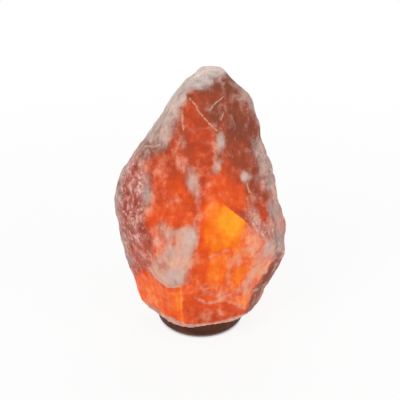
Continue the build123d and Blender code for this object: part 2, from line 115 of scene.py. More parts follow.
class Finish:
    # one material, or the world, and the nodes in it
    def __init__(self, name, kind="materials"):
        self.owner = getattr(bpy.data, kind).new(name)
        self.owner.use_nodes = True
        self.tree = self.owner.node_tree
        self.tree.nodes.clear()
        self.place = self.node("ShaderNodeTexCoord", output="Object")

    def node(self, kind, settings=None, sockets=None, output=0):
        made = self.tree.nodes.new(kind)
        for name, value in (settings or {}).items():
            if name == "stops":
                self.setStops(made.color_ramp, value)
            else:
                setattr(made, name, value)
        pairs = sockets.items() if isinstance(sockets, dict) else enumerate(sockets or ())
        for name, value in pairs:
            if isinstance(value, Wire):
                self.tree.links.new(value.socket, made.inputs[name])
            else:
                made.inputs[name].default_value = value
        return Wire(self, made.outputs[output]) if made.outputs else None

    def setStops(self, ramp, stops):
        # a stop is its position and the red, green and blue of the screen
        while len(ramp.elements) < len(stops):
            ramp.elements.new(1.0)
        for element, (position, *colour) in zip(ramp.elements, stops):
            element.position = position
            element.color = screen(*colour)

    def ramp(self, wire, stops):
        return self.node("ShaderNodeValToRGB", {"stops": stops}, {"Fac": wire})

    def mix(self, factor, first, second):
        sockets = {0: factor, 6: first, 7: second}
        return self.node("ShaderNodeMix", {"data_type": "RGBA"}, sockets, 2)

    def scaled(self, colour, factor):
        # a colour times a number, as Vector Math so that it stays a colour
        sockets = {0: colour if isinstance(colour, Wire) else colour[:3], "Scale": factor}
        return self.node("ShaderNodeVectorMath", {"operation": "SCALE"}, sockets)

    def noise(self, size, detail, roughness, place=None, output=0):
        # size is the width of one blotch in metres
        sockets = {"Scale": 1 / size, "Detail": detail, "Roughness": roughness}
        sockets["Vector"] = place or self.place
        return self.node("ShaderNodeTexNoise", {}, sockets, output)

    def cellTone(self, size, place, channel):
        # one random tone for each cell; red and green are independent of each other
        cells = self.node("ShaderNodeTexVoronoi", {}, {"Scale": 1 / size, "Vector": place}, "Color")
        return self.node("ShaderNodeSeparateColor", {}, [cells], channel)

    def stretched(self, scale, turn=(0, 0, 0), place=None):
        sockets = {"Vector": place or self.place, "Scale": scale, "Rotation": turn}
        return self.node("ShaderNodeMapping", {}, sockets)

    def bent(self, size, amount, place=None):
        # a place that wanders over the size by the amount
        wander = self.scaled(self.noise(size, 2, 0.5, output=1), amount)
        sockets = [place or self.place, wander]
        return self.node("ShaderNodeVectorMath", {"operation": "ADD"}, sockets)

    def attribute(self, name):
        return self.node("ShaderNodeAttribute", {"attribute_name": name}, output="Fac")

    def bump(self, height, distance, strength):
        sockets = {"Height": height, "Distance": distance, "Strength": strength}
        return self.node("ShaderNodeBump", {}, sockets)

    def anyRay(self, *kinds):
        # 1 for rays of these kinds and 0 for others
        found = None
        for kind in kinds:
            one = self.node("ShaderNodeLightPath", output=f"Is {kind} Ray")
            found = found.orElse(one) if found else one
        return found

    def show(self, **sockets):
        # keywords are the shader's socket names, with _ for a space
        named = {name.replace("_", " "): value for name, value in sockets.items()}
        shader = self.node("ShaderNodeBsdfPrincipled", {}, named)
        self.node("ShaderNodeOutputMaterial", {}, {"Surface": shader})
        return self.owner


def placed(name, data):
    # a new object in the scene
    made = bpy.data.objects.new(name, data)
    bpy.context.scene.collection.objects.link(made)
    return made


# camera, fitted to the photograph

view = {
    "place": (0.0, -0.6963, 0.4875),
    "downDegrees": 25.96,
    "focalPixels": 710.6,
    "imagePixels": 400,
    "centre": (200.5, 200.0),
    "sensor": 36.0,
}

cameraData = bpy.data.cameras.new("photoCamera")
cameraData.sensor_width = view["sensor"]
cameraData.lens = view["focalPixels"] / view["imagePixels"] * view["sensor"]
cameraData.shift_x = 0.5 - view["centre"][0] / view["imagePixels"]
camera = placed("photoCamera", cameraData)
camera.location = view["place"]
camera.rotation_euler = (math.radians(90 - view["downDegrees"]), 0, 0)
bpy.context.scene.camera = camera


def photoPixels(points):
    # the column u and row v of the photograph at which points of the lamp lie
    down = math.radians(view["downDegrees"])
    forward = np.array([0, math.cos(down), -math.sin(down)])
    up = np.array([0, math.sin(down), math.cos(down)])
    offset = points - np.array(view["place"])
    depth = offset @ forward
    u = view["centre"][0] + view["focalPixels"] * offset[:, 0] / depth
    v = view["centre"][1] - view["focalPixels"] * (offset @ up) / depth
    return u, v


# the lump of rock salt

salt = {
    "voxel": 0.0015,
    "seed": 11,
    # the shape, in metres
    "footBand": (0.0008, 0.004),    # heights over which the sawn foot passes into broken rock
    "bore": (0.030, 0.128),         # radius and height of the room that holds the bulb's bore
    "plugHoles": (0.038, 0.0065, 0.034),    # how far out, half width and height, as for the bore
    "cleavages": 420,               # flat breaks a few centimetres wide
    "cleavageSize": (0.007, 0.022),
    "cleavageDepth": (0.0002, 0.0012),
    "cleavageTilt": 14,             # degrees
    "cleavageFade": 0.75,           # share of a break's reach from which it fades out
    "cleavageTallest": 0.003,       # a single break takes off no more than this
    "cleavageMost": 0.0026,         # and all of them together cut no point deeper than this
    "proud": 0.0012,                # the skin starts this far out, so breaks straddle the faces
    "wear": (0.35, 0.85),           # share of the worn shape where wear is least and most
    "wearBlotches": (0.016, 3.0),   # width of the more and less worn places, and a shift of theirs
    "wearBetween": (-0.3, 0.5),     # the noise at which wear is least and most
    "wearRounds": 8,
    "undulation": (0.0009, 0.034, 1.0, 2),  # height, width, shift and octaves of the relief
    "lumps": (0.0005, 0.011, 5.0, 3),
    "grain": (0.00022, 0.0042, 7.0, 2),
    "crestRounds": (4, 40),         # rounds of smoothing that tell a crest from a hollow
    "wornHeight": 0.0024,           # between the sharpest crests and hollows that are told apart
    "swells": {
        # centre, radius and how far the rock stands out or in there
        "rightShoulder": ((0.049, -0.005, 0.266), 0.026, 0.0045),
        "rightNick": ((0.068, 0.0, 0.214), 0.024, -0.0050),
        "crownLeft": ((-0.014, 0.006, 0.292), 0.016, -0.0060),
        "leftCorner": ((-0.0965, 0.012, 0.1475), 0.024, -0.0032),
        "rightCorner": ((0.0889, 0.0205, 0.136), 0.012, -0.0022),
        "cleftBack": ((0.0860, 0.0175, 0.1500), 0.010, -0.0050),
        "cleftFront": ((0.0850, 0.0060, 0.1515), 0.010, -0.0050),
    },
    # light, frost and rose all round, each from 0 to 1; distances in metres
    "bulbHeights": (0.050, 0.120),  # of the lit part of the bulb
    "glowFull": 0.054,              # distance from the bulb up to which the rock is brightest
    "glowNear": 1.02,               # how bright it is there,
    "glowReach": 0.085,             # over which the light falls off from there,
    "glowMost": 0.9,                # and the most that is kept of it
    "boreGlow": 0.95,
    "faceTones": (-0.14, 0.10),     # how much darker or lighter one broken face is than the next
    "faceRounds": 70,               # rounds of smoothing at the faces' edges
    "fieldRounds": 4,
    # width and shift of three kinds of blotch, and how much each adds
    "blotches": ((0.050, 9.0), (0.018, 9.0), (0.040, 31.0)),
    "glowBlotches": (0.16, 0.10, 0.0),
    "frostBlotches": (0.36, 0.34, 0.0),
    "roseBlotches": (0.0, 0.45, 0.35),
    # what else adds frost or rose, how much and over which values
    "frostLeast": 0.16,
    "frostFaces": (0.42, 0.5, 0.95),    # some of the faces, by a tone of their own,
    "frostTop": (0.55, 0.235, 0.285),   # the heights of the top,
    "frostAndSheenUpward": (0.30, 0.45, 0.9),   # what faces up, where the pale frost is partly a painted reflection of the light from above
    "frostFar": (0.20, 0.085, 0.120),   # and what lies far from the bulb
    "roseFaces": (0.75, 0.35, 0.8),
    "roseFar": (0.060, 0.085),
    "roseHeights": (0.19, 0.25),        # the rose ends over these
    "roseShade": 0.16,                  # the light that it takes
    # the marks of the front, in pixels of the photograph
    "wander": (3.0, 2.0),           # how far noise bends the soft marks' edges, broadly and finely,
    "wanderCrisp": (1.0, 0.4),      # and those of the crisp ones
    "bends": ((0.018, 9.0), (0.007, 9.0), (0.018, 21.0), (0.007, 23.0)),    # its width and shift
    "markSoftness": 1.7,            # how much wider the soft marks' edges are than they say
    "markBlur": 10,                 # rounds of smoothing before the crisp marks
    "leftSpan": 26,                 # over which softLeft passes into soft
    "crackReach": 9,                # over which the field of each crack and of the painted rim highlight runs from 0 to 1
    "facing": (-0.10, 0.20),        # marks fade out where the rock turns away from the camera
    "frontTo": 0.05,                # metres back to which there are marks
}


def meshArrays(mesh):
    points = np.empty(len(mesh.vertices) * 3)
    mesh.vertices.foreach_get("co", points)
    edges = np.empty(len(mesh.edges) * 2, np.int32)
    mesh.edges.foreach_get("vertices", edges)
    return points.reshape(-1, 3), edges.reshape(-1, 2)


def smoothed(values, edges, rounds):
    # values of the mesh's points, drawn halfway to their neighbours' mean in each round
    values = np.array(values, float)
    flat = values.reshape(len(values), -1)
    first, second = edges[:, 0], edges[:, 1]
    count = np.bincount(edges.ravel(), minlength=len(flat))
    for _ in range(rounds):
        for column in range(flat.shape[1]):
            line = flat[:, column]
            total = np.bincount(first, line[second], len(flat))
            total += np.bincount(second, line[first], len(flat))
            flat[:, column] += (total / count - line) / 2
    return flat.reshape(values.shape)


def pointNormals(mesh):
    normals = np.empty(len(mesh.vertices) * 3)
    mesh.vertex_normals.foreach_get("vector", normals)
    return normals.reshape(-1, 3)


def noiseAt(points, size, shift, octaves=3):
    # smooth noise of about -1 to 1 at each point; size is the width of a blotch in metres
    place = Vector((shift, -shift, 2 * shift))
    return np.array([noise.fractal(Vector(p) / size + place, 1.0, 2.0, octaves) for p in points])


def ramped(values, low, high):
    share = np.clip((values - low) / (high - low), 0, 1)
    return share * share * (3 - 2 * share)


def remeshedCopy(node, voxel):
    # the CAD node's mesh, merged and laid out again in even squares
    copy = bpy.data.meshes.new_from_object(nodes[node])
    tidy = bmesh.new()
    tidy.from_mesh(copy)
    bmesh.ops.remove_doubles(tidy, verts=tidy.verts, dist=1e-6)
    tidy.to_mesh(copy)
    tidy.free()
    rough = placed("rough", copy)
    remesh = rough.modifiers.new("remesh", "REMESH")
    remesh.mode = "VOXEL"
    remesh.voxel_size = voxel
    graph = bpy.context.evaluated_depsgraph_get()
    made = bpy.data.meshes.new_from_object(rough.evaluated_get(graph))
    corners = [vertex.co for vertex in copy.vertices]
    surface = BVHTree.FromPolygons(corners, [polygon.vertices for polygon in copy.polygons])
    planes = {}
    facetOf = []
    for polygon in copy.polygons:
        normal = polygon.normal
        key = (*[round(x, 2) for x in normal], round(normal.dot(polygon.center), 3))
        facetOf.append(planes.setdefault(key, len(planes)))
    bpy.data.objects.remove(rough)
    return made, surface, facetOf


def cleave(points, normals, sites, draw):
    # shallow flat breaks: what stands above a tilted plane near each site is cut down to it
    for site in sites:
        centre, outward = points[site].copy(), Vector(normals[site])
        tilt = math.radians(salt["cleavageTilt"]) * draw.random()
        around = outward.orthogonal()
        around.rotate(Matrix.Rotation(draw.uniform(0, 2 * math.pi), 3, outward))
        outward.rotate(Matrix.Rotation(tilt, 3, around))
        reach = draw.uniform(*salt["cleavageSize"])
        depth = draw.uniform(*salt["cleavageDepth"])
        offset = points - centre
        near = np.nonzero((offset * offset).sum(1) < reach * reach)[0]
        height = offset[near] @ np.array(outward) + depth
        away = np.sqrt((offset[near] ** 2).sum(1)) / reach
        cut = np.clip(height, 0, salt["cleavageTallest"])
        cut *= 1 - ramped(away, salt["cleavageFade"], 1.0)
        points[near] -= cut[:, None] * np.array(outward)


def brokenAndWorn(points, normals, edges, outside):
    # the skin a little proud, broken in flats and then worn, more in some places than in others
    draw = random.Random(salt["seed"])
    skin = np.nonzero(outside > 0.99)[0]
    sites = [skin[draw.randrange(len(skin))] for _ in range(salt["cleavages"])]
    moved = points.copy()
    cleave(moved, normals, sites, draw)
    depth = np.linalg.norm(moved - points, axis=1) + 1e-9
    share = salt["cleavageMost"] * np.tanh(depth / salt["cleavageMost"]) / depth
    moved = points + (moved - points) * share[:, None] + salt["proud"] * normals
    worn = smoothed(moved, edges, salt["wearRounds"])
    least, most = salt["wear"]
    wear = ramped(noiseAt(points, *salt["wearBlotches"]), *salt["wearBetween"])
    return moved + (worn - moved) * (least + (most - least) * wear)[:, None]


def carvedSalt():
    mesh, surface, facetOf = remeshedCopy("salt_crystal", salt["voxel"])
    points, edges = meshArrays(mesh)
    normals = pointNormals(mesh)
    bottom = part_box("salt_crystal")[0].z
    facet = np.array([facetOf[surface.find_nearest(Vector(p))[2]] for p in points])
    x, y, z = points.T
    radius, top = salt["bore"]
    inBore = (np.hypot(x, y) < radius) & (z < bottom + top)
    plugAt, half, top = salt["plugHoles"]
    inPlugHole = (abs(abs(x) - plugAt) < half) & (abs(y) < half) & (z < bottom + top)
    outside = ramped(z - bottom, *salt["footBand"]) * ~(inBore | inPlugHole)
    moved = brokenAndWorn(points, normals, edges, outside)
    relief = 0
    for kind in ("undulation", "lumps"):
        height, *blotches = salt[kind]
        relief += height * noiseAt(points, *blotches)
    height, *blotches = salt["grain"]
    relief -= height * np.abs(noiseAt(points, *blotches))
    moved += relief[:, None] * normals
    for centre, reach, proud in salt["swells"].values():
        near = 1 - ramped(np.linalg.norm(points - np.array(centre), axis=1), 0, reach)
        moved += (near * proud)[:, None] * normals
    points += (moved - points) * outside[:, None]
    # crests and hollows: they set the frost on worn crests, and the painted shade that is darker in
    # hollows and lighter on crests
    fine, coarse = [smoothed(points, edges, rounds) for rounds in salt["crestRounds"]]
    crests = ((fine - coarse) * normals).sum(1)
    worn = np.clip(0.5 + crests / salt["wornHeight"], 0, 1)
    mesh.vertices.foreach_set("co", points.ravel())
    mesh.update()
    mesh.shade_smooth()
    return mesh, points, edges, facet, worn, inBore


saltMesh, saltPoints, saltEdges, saltFacet, saltCrestsWornAndShaded, saltBore = carvedSalt()
print("salt carved:", len(saltMesh.vertices), "points")

# what shows on the lump's front, placed on the photograph in pixels. Each mark says how much
# light, frost and granular rose it has, and has an outline, a spot (centre, half width, half
# height, turn in degrees) or a line with its half width. soft is the width of its edge,
# softLeft that of its left edge, and within names the mark that bounds it.
softMarks = {
    "upperBody": dict(glow=0.40, frost=0.16, rose=0.05, soft=8, outline=[(175, 80), (215, 62),
        (250, 88), (268, 140), (272, 190), (205, 200), (150, 184), (146, 140)]),
    "centreRed": dict(glow=0.57, frost=0.12, soft=6, outline=[(188, 163), (213, 163), (208, 186),
        (203, 203), (191, 203)]),
    "orangeLeft": dict(glow=0.67, frost=0.10, soft=12, outline=[(158, 172), (188, 170), (196, 200),
        (192, 232), (163, 232), (149, 226), (146, 205), (151, 186)]),
    "orangeMiddle": dict(glow=0.68, frost=0.05, soft=8, outline=[(205, 190), (211, 168), (228, 160),
        (243, 178), (251, 203), (250, 211), (236, 210), (222, 206), (203, 206)]),
    "middleDusk": dict(glow=0.50, frost=0, soft=9, spot=(237, 172, 11, 11, 0)),
    "leftFlank": dict(glow=0.30, frost=0.62, soft=6, outline=[(192, 72), (187, 88), (183, 103),
        (180, 118), (176, 126), (171, 141), (165, 151), (148, 154), (118, 172), (126, 140),
        (150, 112), (170, 84)]),
    # a pale rim along the left silhouette, partly frost and partly a painted sheen of rough rock in
    # grazing light
    "leftEdgeFrostAndSheen": dict(glow=0.06, frost=0.85, soft=9, half=7, line=[(192, 72), (170, 98), (152, 120),
        (142, 134)]),
    "leftBrown": dict(glow=0.56, frost=0.28, rose=0.16, soft=4, outline=[(148, 154), (165, 151),
        (174, 130), (184, 128), (190, 168), (178, 178), (158, 176), (146, 172)]),
    "heart": dict(glow=0.52, frost=0.05, soft=1.5, outline=[(182, 106), (190, 101), (210, 124),
        (218, 131), (215, 150), (211, 167), (191, 170), (185, 150), (184, 128)]),
    "brownCrown": dict(glow=0.36, frost=0, soft=2, outline=[(189, 89), (203, 92), (214, 87),
        (226, 90), (225, 98), (210, 113), (203, 110), (193, 99), (184, 103)]),
    "veinPocket": dict(glow=0.26, frost=0, soft=1.5, outline=[(209, 112), (224, 97), (225, 113),
        (218, 130)]),
    "rightBrow": dict(glow=0.28, frost=0.14, soft=2, outline=[(226, 70), (242, 86), (262, 112),
        (264, 137), (252, 143), (230, 142), (226, 112)]),
    "rightBrowLow": dict(glow=0.37, frost=0.10, rose=0.22, soft=4, outline=[(230, 142), (258, 138),
        (264, 165), (262, 182), (246, 186), (236, 168)]),
    "rightMixed": dict(glow=0.42, frost=0.30, rose=0.32, soft=5, outline=[(246, 184), (262, 172),
        (278, 190), (274, 212), (262, 214), (250, 214)]),
    "capFrost": dict(glow=0.08, frost=0.84, soft=5, outline=[(184, 86), (190, 74), (205, 64),
        (226, 64), (228, 74), (219, 80), (212, 86), (203, 91), (190, 88)]),
    "capBeige": dict(glow=0.20, frost=0.10, soft=7, spot=(223, 84, 10, 8, 0)),
    "flankDusk": dict(glow=0.26, frost=0.36, soft=8, spot=(146, 149, 12, 8, -20)),
    "browBeige": dict(glow=0.30, frost=0.52, soft=4, spot=(236, 97, 8, 4, 20)),
    "rightEdge": dict(glow=0.26, frost=0.64, rose=0.40, soft=6, outline=[(250, 140), (266, 138),
        (276, 165), (284, 190), (274, 196), (262, 176), (254, 156)]),
    "leftRose": dict(glow=0.44, frost=0.24, rose=0.92, soft=8, outline=[(112, 158), (142, 160),
        (148, 185), (145, 205), (146, 226), (152, 244), (146, 266), (120, 272), (108, 220)]),
    "leftLower": dict(glow=0.50, frost=0.22, rose=0.55, soft=5, outline=[(120, 244), (148, 238),
        (154, 262), (151, 276), (142, 300), (124, 276)]),
    "hotLow": dict(glow=0.78, frost=0.30, soft=4, outline=[(210, 257), (232, 251), (252, 257),
        (268, 258), (262, 280), (244, 298), (222, 300), (207, 292)]),
    "rightRose": dict(glow=0.58, frost=0.52, rose=0.85, soft=4, outline=[(248, 221), (262, 208),
        (276, 192), (290, 225), (292, 250), (282, 262), (268, 258), (257, 238)]),
    "centreColumn": dict(glow=0.68, frost=0.10, soft=6, outline=[(192, 250), (204, 246), (211, 256),
        (207, 292), (200, 300), (186, 306), (183, 288), (189, 272)]),
    "litFoot": dict(glow=0.74, frost=0.05, soft=2, outline=[(148, 270), (170, 287), (182, 286),
        (183, 326), (160, 318), (138, 302), (134, 280)]),
    "frontFoot": dict(glow=0.63, frost=0.03, soft=3, outline=[(184, 302), (198, 300), (212, 304),
        (226, 301), (243, 308), (252, 300), (242, 320), (222, 326), (184, 328)]),
    "rightDark": dict(glow=0.24, frost=0.16, rose=0.45, soft=3, outline=[(254, 288), (268, 270),
        (276, 259), (292, 258), (276, 284), (248, 318), (240, 318), (248, 300)]),
    "frostLedge": dict(glow=0.48, frost=0.76, soft=5, outline=[(158, 223), (170, 228), (184, 230),
        (191, 228), (199, 231), (199, 241), (193, 251), (190, 270), (184, 277), (181, 285),
        (174, 288), (167, 285), (154, 275), (150, 266), (155, 259), (164, 254), (165, 244),
        (163, 234)]),
    "pinkStreak": dict(glow=0.62, frost=0.52, soft=2, outline=[(192, 199), (202, 200), (203, 222),
        (200, 232), (193, 230)]),
    "patchLeft": dict(glow=0.40, frost=0.62, soft=3, spot=(184, 141, 4, 10, -8)),
    "patchRidgeHigh": dict(glow=0.32, frost=0.86, soft=2.5, spot=(220, 140, 4.5, 10, 14)),
    "patchRidgeLow": dict(glow=0.34, frost=0.84, soft=2, spot=(216, 153, 2.5, 6, 12)),
    "patchDiagonal": dict(glow=0.40, frost=0.84, soft=2.5, spot=(218, 168, 4, 9, 42)),
    "patchCentre": dict(glow=0.40, frost=0.80, soft=7, spot=(193, 181, 5, 13, -14)),
    "patchCentreLow": dict(glow=0.50, frost=0.70, soft=2, spot=(198, 191, 2, 6, -5)),
    "patchStar": dict(glow=0.34, frost=0.92, soft=3, spot=(246.5, 177, 6.5, 6, 30)),
    "patchFaint": dict(glow=0.34, frost=0.55, rose=0.10, soft=3, spot=(259, 177, 2.5, 8, 0)),
    "patchSmall": dict(glow=0.62, frost=0.50, soft=2, spot=(208.5, 184, 2.5, 4, 0)),
    "patchLilac": dict(glow=0.20, frost=0.80, soft=7, spot=(147, 194, 4.5, 11, 0)),
    "patchFlank": dict(glow=0.58, frost=0.45, soft=3, spot=(175, 200, 6, 3, -30)),
    "patchColumn": dict(glow=0.60, frost=0.42, soft=3, spot=(203, 288, 3, 9, 10)),
    # a pale grey rim at the right silhouette, partly frost and partly a painted sheen of rough rock
    # in grazing light
    "greyRightFrostAndSheen": dict(glow=0.10, frost=0.54, rose=0.50, soft=5, spot=(279, 243, 6, 13, 0)),
    # a pale grey-lilac rim along the left silhouette, partly frost and partly a painted sheen of
    # rough rock in grazing light
    "greyLeftFrostAndSheen": dict(glow=0.15, frost=0.62, rose=0.60, soft=8, half=4, line=[(127, 156), (118, 185),
        (115, 215), (121, 240), (128, 262)]),
    "roseStripe": dict(glow=0.54, frost=0, rose=0.10, soft=4, half=2.5, line=[(262, 203),
        (266, 222)]),
    "roseHigh": dict(glow=0.20, frost=0.66, rose=0.45, soft=6, spot=(276, 208, 5, 11, 0)),
    "rosePink": dict(glow=0.56, frost=0.46, rose=0.20, soft=5, spot=(250, 203, 5, 6, 0)),
    "footGleam": dict(glow=0.90, frost=0.12, soft=5, outline=[(174, 288), (181, 288), (182, 322),
        (178, 316)]),
    "centreRuddy": dict(glow=0.60, frost=0.40, soft=6, spot=(198, 222, 6, 12, 0)),
    "orangeDeep": dict(glow=0.64, frost=0.02, soft=8, spot=(182, 214, 12, 13, 0)),
    "orangePale": dict(glow=0.62, frost=0.30, soft=8, spot=(162, 190, 10, 16, 0)),
    "ledgeRed": dict(glow=0.60, frost=0.34, soft=5, spot=(175, 240, 5, 7, 20)),
    "ledgeWhite": dict(glow=0.38, frost=0.82, soft=5, spot=(188, 243, 6, 14, 10)),
    "ledgeFoot": dict(glow=0.38, frost=0.86, soft=6, spot=(170, 275, 16, 8, 15)),
    "ledgeArm": dict(glow=0.46, frost=0.80, soft=4, half=2.5, line=[(160, 226), (168, 231),
        (180, 233)]),
    "ledgeWarm": dict(glow=0.54, frost=0.54, soft=4, spot=(164, 267, 7, 4, -35)),
    "footPale": dict(glow=0.60, frost=0.36, soft=8, spot=(219, 314, 9, 6, 0)),
    "footLeft": dict(glow=0.84, frost=0.38, soft=7, spot=(152, 296, 7, 10, -25)),
    "footMist": dict(glow=0.58, frost=0.38, soft=8, spot=(205, 319, 9, 7, 0)),
}

# drawn over the soft ones, with edges as sharp as they say
crispMarks = {
    "hotWindow": dict(glow=0.86, frost=0.03, soft=1.5, softLeft=16, outline=[(204, 206), (216, 200),
        (229, 208), (242, 219), (261, 236), (272, 256), (250, 258), (230, 250), (212, 254),
        (204, 246)]),
    # a pale rim along the lump's bottom edge, partly frost and partly a painted sheen of rough rock
    # in grazing light
    "footRimFrostAndSheen": dict(glow=0.46, frost=0.66, soft=2, half=4, line=[(146, 306), (160, 316), (172, 322),
        (184, 327), (200, 328), (225, 324), (244, 317)]),
    "ledgeLine": dict(glow=0.66, frost=0.55, soft=1.5, half=1.6, line=[(195, 298), (206, 303),
        (214, 302), (225, 300), (242, 307)]),
    "footRidge": dict(glow=0.92, frost=0.35, soft=1, half=0.8, line=[(181, 288), (181.5, 306),
        (182, 324)]),
    "hotSpot": dict(glow=1, frost=0, soft=16, within="hotWindow",
        spot=(232, 222, 15, 22, 15)),
    "hotUnder": dict(glow=0.86, frost=0.02, soft=10, within="hotWindow",
        spot=(215, 240, 9, 12, 20)),
    "windowHaze": dict(glow=0.74, frost=0.50, soft=26, within="hotWindow",
        spot=(257, 248, 18, 18, 35)),
    "windowCorner": dict(glow=0.44, frost=0.86, soft=6, spot=(269, 250, 5, 8, 20)),
    "windowVeil": dict(glow=0.68, frost=0.58, soft=7, within="hotWindow", half=3, line=[(248, 228),
        (256, 234), (264, 244)]),
    "hotLeft": dict(glow=0.86, frost=0.05, soft=12, spot=(218, 268, 9, 15, 20)),
    "hotRight": dict(glow=0.88, frost=0.12, soft=10, spot=(243, 277, 9, 11, 10)),
    "windowSill": dict(glow=0.72, frost=0.50, soft=6, half=1.5, line=[(207, 258), (215, 255),
        (223, 252), (230, 250)]),
    "veilUnder": dict(glow=0.78, frost=0.50, soft=6, spot=(236, 262, 9, 5, -10)),
    "veilTall": dict(glow=0.76, frost=0.50, soft=7, half=1.8, line=[(230, 268), (227, 282),
        (222, 293)]),
    "veilCorner": dict(glow=0.70, frost=0.72, soft=11, half=4.5, line=[(263, 256), (257, 268),
        (250, 278), (245, 288)]),
    "veilLow": dict(glow=0.68, frost=0.52, soft=8, half=2.6, line=[(206, 293), (222, 297),
        (236, 294), (246, 288)]),
}

# thin pale cracks in the rock, and a painted highlight along the top's rim, in pixels of the
# photograph
cracksAndRimHighlight = {
    "long": [(189, 98), (199, 111), (210, 124.5), (217, 130.5)],
    "cross": [(223.7, 96.7), (216, 103), (210, 111)],
    "short": [(224.2, 112.8), (220.8, 120.3)],
    "left": [(182.3, 110), (182.6, 118), (183.6, 129)],
    "flank": [(143, 146), (152, 146.5), (159.5, 144)],
    "starTail": [(247.2, 184), (249.6, 192)],
    # a painted highlight: the bright line of light along the rim of the top, drawn like a crack
    "capRimHighlight": [(190, 78), (197, 76.5), (203, 72), (210, 69.5), (218, 69.5)],
    "ledgeEdge": [(150, 267), (155, 277), (168, 286.5), (181, 286)],
}


def segmentDistance(u, v, line):
    nearest = np.full(len(u), 1e9)
    for (fromU, fromV), (toU, toV) in zip(line, line[1:]):
        runU, runV = toU - fromU, toV - fromV
        share = np.clip(((u - fromU) * runU + (v - fromV) * runV) / (runU**2 + runV**2), 0, 1)
        nearest = np.minimum(nearest, np.hypot(u - fromU - share * runU, v - fromV - share * runV))
    return nearest


def insideBy(u, v, mark):
    # how far inside the mark each point lies, in pixels, and less than 0 outside
    if "spot" in mark:
        centreU, centreV, halfU, halfV, turn = mark["spot"]
        turn = math.radians(turn)
        across = (u - centreU) * math.cos(turn) + (v - centreV) * math.sin(turn)
        along = (v - centreV) * math.cos(turn) - (u - centreU) * math.sin(turn)
        return (1 - np.hypot(across / halfU, along / halfV)) * min(halfU, halfV)
    if "line" in mark:
        return mark["half"] - segmentDistance(u, v, mark["line"])
    outline = mark["outline"] + mark["outline"][:1]
    inside = np.zeros(len(u), bool)
    for (fromU, fromV), (toU, toV) in zip(outline, outline[1:]):
        crosses = (fromV > v) != (toV > v)
        rise = toV - fromV if toV != fromV else 1e-9
        inside ^= crosses & (u < fromU + (v - fromV) * (toU - fromU) / rise)
    return np.where(inside, 1, -1) * segmentDistance(u, v, outline)


def naturalFields():
    # light, frost and granular rose all over the lump, as such rock has them
    x, y, z = saltPoints.T
    draw = random.Random(salt["seed"] + 1)
    tones = [(draw.uniform(*salt["faceTones"]), draw.random(), draw.random())
             for _ in range(saltFacet.max() + 1)]
    tone, frosted, rosy = smoothed(np.array(tones)[saltFacet], saltEdges, salt["faceRounds"]).T
    height = np.clip(z, *salt["bulbHeights"])
    away = np.sqrt(x * x + y * y + (z - height) ** 2)
    upward = pointNormals(saltMesh)[:, 2]
    blotches = np.array([noiseAt(saltPoints, *blotch) for blotch in salt["blotches"]])
    glow = salt["glowNear"] * np.exp((salt["glowFull"] - away) / salt["glowReach"])
    glow = np.clip(glow, 0, salt["glowMost"]) + tone + np.dot(salt["glowBlotches"], blotches)
    frost = salt["frostLeast"] + np.dot(salt["frostBlotches"], blotches)
    for cause, values in (("frostFaces", frosted), ("frostTop", z), ("frostAndSheenUpward", upward),
                          ("frostFar", away)):
        amount, low, high = salt[cause]
        frost += amount * ramped(values, low, high)
    amount, low, high = salt["roseFaces"]
    rose = amount * ramped(rosy, low, high) * ramped(away, *salt["roseFar"])
    rose += np.dot(salt["roseBlotches"], blotches)
    rose *= 1 - ramped(z, *salt["roseHeights"])
    glow -= salt["roseShade"] * np.clip(rose, 0, 1)
    return smoothed(np.stack([glow, frost, rose], axis=1), saltEdges, salt["fieldRounds"])


def layOver(fields, marks, u, v, facing, softness):
    # lays the light, frost and rose of each mark over the fields
    weights = {}
    for name, mark in marks.items():
        edge = mark["soft"] * softness / 2
        if "softLeft" in mark:
            left = min(corner[0] for corner in mark["outline"])
            edge = np.interp(u, (left, left + salt["leftSpan"]), (mark["softLeft"] / 2, edge))
        weight = facing * ramped(insideBy(u, v, mark), -edge, edge)
        weight = weights[name] = weight * weights.get(mark.get("within"), 1)
        shown = np.array([mark["glow"], mark["frost"], mark.get("rose", 0)])
        fields += weight[:, None] * (shown - fields)


def saltFields():
    # the natural fields with the marks of the front and the cracks over them
    fields = naturalFields()
    toCamera = np.array(view["place"]) - saltPoints
    toCamera /= np.linalg.norm(toCamera, axis=1)[:, None]
    facing = ramped((pointNormals(saltMesh) * toCamera).sum(1), *salt["facing"])
    facing *= ~saltBore & (saltPoints[:, 1] < salt["frontTo"])
    straightU, straightV = photoPixels(saltPoints)
    broadU, fineU, broadV, fineV = [noiseAt(saltPoints, *bend) for bend in salt["bends"]]
    for marks, softness, (broadly, finely) in ((softMarks, salt["markSoftness"], salt["wander"]),
                                               (crispMarks, 1, salt["wanderCrisp"])):
        u = straightU + broadly * broadU + finely * fineU
        v = straightV + broadly * broadV + finely * fineV
        layOver(fields, marks, u, v, facing, softness)
        if marks is softMarks:
            fields = smoothed(fields, saltEdges, salt["markBlur"])
    reach = salt["crackReach"]
    crack = np.full(len(u), float(reach))
    for line in cracksAndRimHighlight.values():
        crack = np.minimum(crack, segmentDistance(u, v, line) + reach * (1 - facing))
    glow, frost, rose = np.clip(fields.T, 0, 1)
    glow[saltBore], frost[saltBore], rose[saltBore] = salt["boreGlow"], 0, 0
    return {"glow": glow, "frost": frost, "rose": rose,
            "crack": np.clip(crack / reach, 0, 1), "worn": saltCrestsWornAndShaded}


for fieldName, fieldValues in saltFields().items():
    stored = saltMesh.attributes.new(fieldName, "FLOAT", "POINT")
    stored.data.foreach_set("value", fieldValues.astype(np.float32))
saltLump = placed("saltLump", saltMesh)
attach(saltLump, "lamp")
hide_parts("salt_crystal")
print("salt marked")

